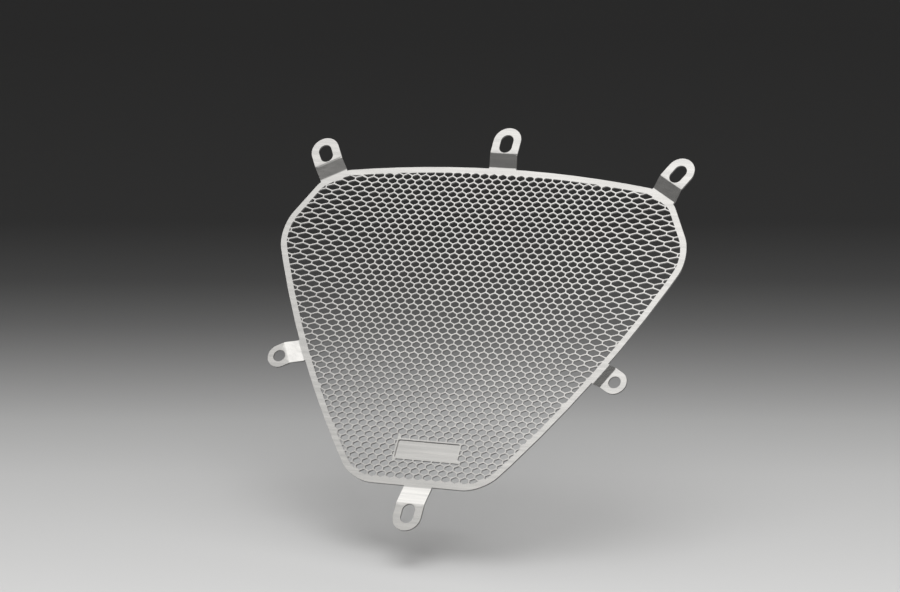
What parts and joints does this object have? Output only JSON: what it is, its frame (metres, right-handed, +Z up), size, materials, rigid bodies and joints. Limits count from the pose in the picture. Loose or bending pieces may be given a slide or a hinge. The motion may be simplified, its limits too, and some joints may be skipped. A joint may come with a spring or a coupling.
{
  "type": "oil cooler guard",
  "caption": "Flat stainless sheet guard with a honeycomb of openings, a plain border and joggled screw tabs, for the front of an oil cooler.",
  "frame": {"origin": "midway between the two side screw holes, on the plane of the tabs' back faces", "axes": "+X across the guard to the viewer's right as it is seen from its front, +Z up, and the front faces -Y"},
  "size_m": [0.2226, 0.0042, 0.2272],
  "materials": {
    "steel": "fine satin stainless steel, unpainted"
  },
  "bodies": {
    "root": {"guard": "steel"}
  },
  "joints": []
}
